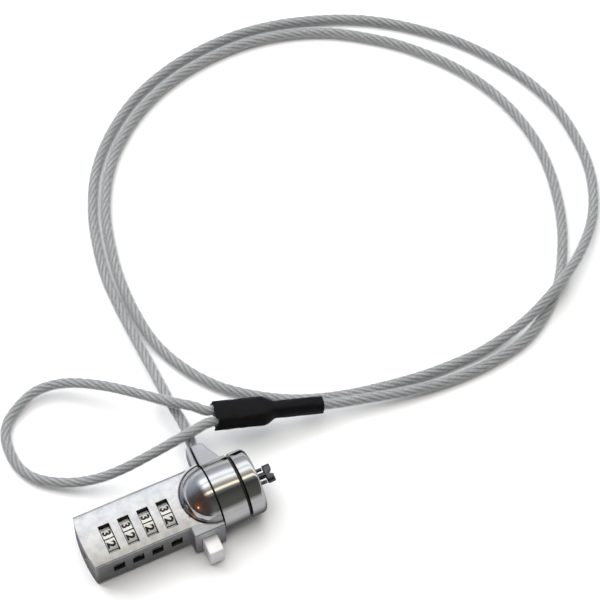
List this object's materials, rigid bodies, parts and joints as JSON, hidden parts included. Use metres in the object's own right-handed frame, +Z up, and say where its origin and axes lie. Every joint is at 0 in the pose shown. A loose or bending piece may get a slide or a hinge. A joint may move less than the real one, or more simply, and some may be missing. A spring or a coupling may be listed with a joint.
{
  "type": "laptop cable lock",
  "caption": "Combination cable lock for a laptop: a metal head with code dials, push button and T-bar nose, on a coiled coated wire rope with a crimped eye.",
  "frame": {"origin": "under the middle of the lock head, on the surface it lies on", "axes": "+X along the T-bar's axis towards the nose, +Y towards the cable's lug (the button is on -Y), +Z up"},
  "size_m": [0.2331, 0.1871, 0.0227],
  "materials": {
    "satin_chrome": "satin chrome plated zinc casting",
    "bright_chrome": "mirror polished chrome plate",
    "dark_steel": "dark plated hardened steel",
    "spring_steel": "bare spring steel",
    "brass": "turned brass",
    "dial_face": "satin metal with black figures",
    "black_plastic": "matt black",
    "heat_shrink": "semi-matt black heat-shrink",
    "wire_rope": "galvanised wire rope under clear plastic",
    "ferrule_alloy": "bare crimped alloy"
  },
  "bodies": {
    "head": {"housing": "satin_chrome", "base_cover": "satin_chrome", "front_collar": "bright_chrome", "nose_boss": "dark_steel", "groove_washer": "black_plastic", "button_spring": "spring_steel", "detent_spring": "spring_steel", "reset_spring": "spring_steel", "shrink_tube": "heat_shrink", "crimp_sleeve": "ferrule_alloy", "cable_eye": "wire_rope", "cable_main": "wire_rope", "cable_stop": "ferrule_alloy", "cover_screw_1": "dark_steel", "cover_screw_2": "dark_steel", "cover_screw_3": "dark_steel", "collar_screw_1": "dark_steel", "anti_rotation_pin_1": "dark_steel", "collar_screw_2": "dark_steel", "anti_rotation_pin_2": "dark_steel"},
    "nose_ring": {"nose_ring": "bright_chrome"},
    "t_bar": {"t_bar": "dark_steel", "pinion": "spring_steel", "retaining_clip": "spring_steel"},
    "button": {"push_button": "bright_chrome"},
    "spindle": {"spindle": "spring_steel"},
    "reset_plunger": {"reset_plate": "spring_steel"},
    "reset_screw": {"reset_screw": "brass"},
    "dial_1": {"dial_1": "dial_face", "hub_1": "brass"},
    "dial_2": {"dial_2": "dial_face", "hub_2": "brass"},
    "dial_3": {"dial_3": "dial_face", "hub_3": "brass"},
    "dial_4": {"dial_4": "dial_face", "hub_4": "brass"}
  },
  "joints": [
    {"name": "button_push", "type": "slide", "parent": "head", "child": "button", "axis": [0, 1, 0], "range_m": [0, 0.00393], "stiffness_N_per_m": 300, "springref_m": -0.003, "deforming": ["button_spring"]},
    {"name": "t_bar_turn", "type": "hinge", "parent": "head", "child": "t_bar", "pos_m": [0.0115, 0, 0.0114], "axis": [1, 0, 0], "range_deg": [0, 90]},
    {"name": "spindle_slide", "type": "slide", "parent": "head", "child": "spindle", "axis": [1, 0, 0], "range_m": [0, 0.0024]},
    {"name": "dial_1_turn", "type": "hinge", "parent": "head", "child": "dial_1", "pos_m": [-0.0253, -0.0009, 0.0086], "axis": [1, 0, 0], "continuous": true},
    {"name": "dial_2_turn", "type": "hinge", "parent": "head", "child": "dial_2", "pos_m": [-0.01845, -0.0009, 0.0086], "axis": [1, 0, 0], "continuous": true},
    {"name": "dial_3_turn", "type": "hinge", "parent": "head", "child": "dial_3", "pos_m": [-0.0116, -0.0009, 0.0086], "axis": [1, 0, 0], "continuous": true},
    {"name": "dial_4_turn", "type": "hinge", "parent": "head", "child": "dial_4", "pos_m": [-0.00475, -0.0009, 0.0086], "axis": [1, 0, 0], "continuous": true},
    {"name": "reset_push", "type": "slide", "parent": "head", "child": "reset_plunger", "axis": [1, 0, 0], "range_m": [0, 0.0009], "stiffness_N_per_m": 400, "springref_m": -0.002, "deforming": ["reset_spring"]},
    {"name": "reset_turn", "type": "hinge", "parent": "reset_plunger", "child": "reset_screw", "pos_m": [-0.0325, -0.0009, 0.0086], "axis": [1, 0, 0], "range_deg": [0, 90]},
    {"name": "nose_ring_spin", "type": "hinge", "parent": "head", "child": "nose_ring", "pos_m": [0.0245, 0, 0.0114], "axis": [1, 0, 0], "continuous": true}
  ],
  "couplings": [
    {"joint": "t_bar_turn", "follows": "button_push", "rad_per_m": 400},
    {"joint": "spindle_slide", "follows": "button_push", "ratio": 0.61115}
  ]
}
